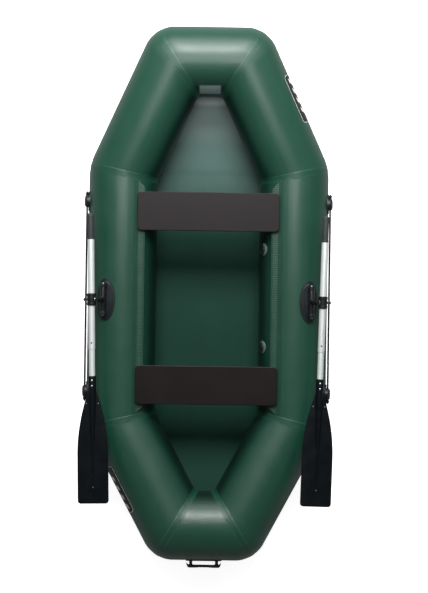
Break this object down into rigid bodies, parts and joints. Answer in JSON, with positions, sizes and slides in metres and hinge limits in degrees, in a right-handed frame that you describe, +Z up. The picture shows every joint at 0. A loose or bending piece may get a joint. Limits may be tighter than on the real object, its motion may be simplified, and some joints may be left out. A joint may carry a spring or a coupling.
{
  "type": "inflatable rowing boat",
  "caption": "Flat-bottomed inflatable dinghy: mitred air-tube ring, fabric floor, sliding bench seats, stowed oars on tilting swivel oarlocks, lifelines and a stern handle.",
  "frame": {"origin": "on the ground under the middle of the boat's box", "axes": "+Y to the bow, +X to starboard, +Z up"},
  "size_m": [1.1302, 2.436, 0.4018],
  "materials": {
    "tube_fabric": "satin",
    "floor_fabric": "satin",
    "rail_fabric": "matte",
    "black_rubber": "matte",
    "valve_plastic": "satin",
    "plate_fabric": "satin",
    "plywood": "satin",
    "black_plastic": "satin",
    "steel": "satin",
    "aluminium": "satin",
    "rope": "matte"
  },
  "bodies": {
    "hull": {"bow_tube": "tube_fabric", "starboard_bow_tube": "tube_fabric", "starboard_side_tube": "tube_fabric", "starboard_stern_tube": "tube_fabric", "stern_tube": "tube_fabric", "port_stern_tube": "tube_fabric", "port_side_tube": "tube_fabric", "port_bow_tube": "tube_fabric", "bow_floor_panel": "floor_fabric", "mid_floor_panel": "floor_fabric", "stern_floor_panel": "floor_fabric", "port_seat_rail": "rail_fabric", "starboard_seat_rail": "rail_fabric", "bow_tow_eye": "black_rubber", "stern_handle": "black_rubber", "bow_valve": "valve_plastic", "stern_valve": "valve_plastic", "data_plate": "plate_fabric", "starboard_oarlock_base": "black_rubber", "starboard_bow_rope_holder": "black_rubber", "starboard_stern_rope_holder": "black_rubber", "starboard_oarlock_axle": "steel", "starboard_lifeline": "rope", "port_oarlock_base": "black_rubber", "port_bow_rope_holder": "black_rubber", "port_stern_rope_holder": "black_rubber", "port_oarlock_axle": "steel", "port_lifeline": "rope"},
    "bow_bench": {"bow_bench": "plywood", "bow_bench_clips": "black_plastic"},
    "stern_bench": {"stern_bench": "plywood", "stern_bench_clips": "black_plastic"},
    "starboard_oarlock": {"starboard_oarlock_rocker": "black_plastic"},
    "starboard_oar": {"starboard_swivel_head": "steel", "starboard_oar_collar": "black_plastic", "starboard_oar_grip": "black_plastic", "starboard_oar_upper_shaft": "aluminium", "starboard_oar_lower_shaft": "aluminium", "starboard_oar_blade": "black_plastic"},
    "port_oarlock": {"port_oarlock_rocker": "black_plastic"},
    "port_oar": {"port_swivel_head": "steel", "port_oar_collar": "black_plastic", "port_oar_grip": "black_plastic", "port_oar_upper_shaft": "aluminium", "port_oar_lower_shaft": "aluminium", "port_oar_blade": "black_plastic"}
  },
  "joints": [
    {"name": "bow_bench_slide", "type": "slide", "parent": "hull", "child": "bow_bench", "axis": [0, 1, 0], "range_m": [-0.29, 0.03]},
    {"name": "stern_bench_slide", "type": "slide", "parent": "hull", "child": "stern_bench", "axis": [0, 1, 0], "range_m": [-0.03, 0.29]},
    {"name": "starboard_oar_lift", "type": "hinge", "parent": "hull", "child": "starboard_oarlock", "pos_m": [0.46301, -0.01, 0.31586], "axis": [0, -1, 0], "range_deg": [0, 20]},
    {"name": "starboard_oar_swing", "type": "hinge", "parent": "starboard_oarlock", "child": "starboard_oar", "pos_m": [0.46301, -0.01, 0.31586], "axis": [0.4067, 0, 0.9135], "range_deg": [0, 140]},
    {"name": "port_oar_lift", "type": "hinge", "parent": "hull", "child": "port_oarlock", "pos_m": [-0.46301, -0.01, 0.31586], "axis": [0, 1, 0], "range_deg": [0, 20]},
    {"name": "port_oar_swing", "type": "hinge", "parent": "port_oarlock", "child": "port_oar", "pos_m": [-0.46301, -0.01, 0.31586], "axis": [0.4067, 0, -0.9135], "range_deg": [0, 140]}
  ]
}
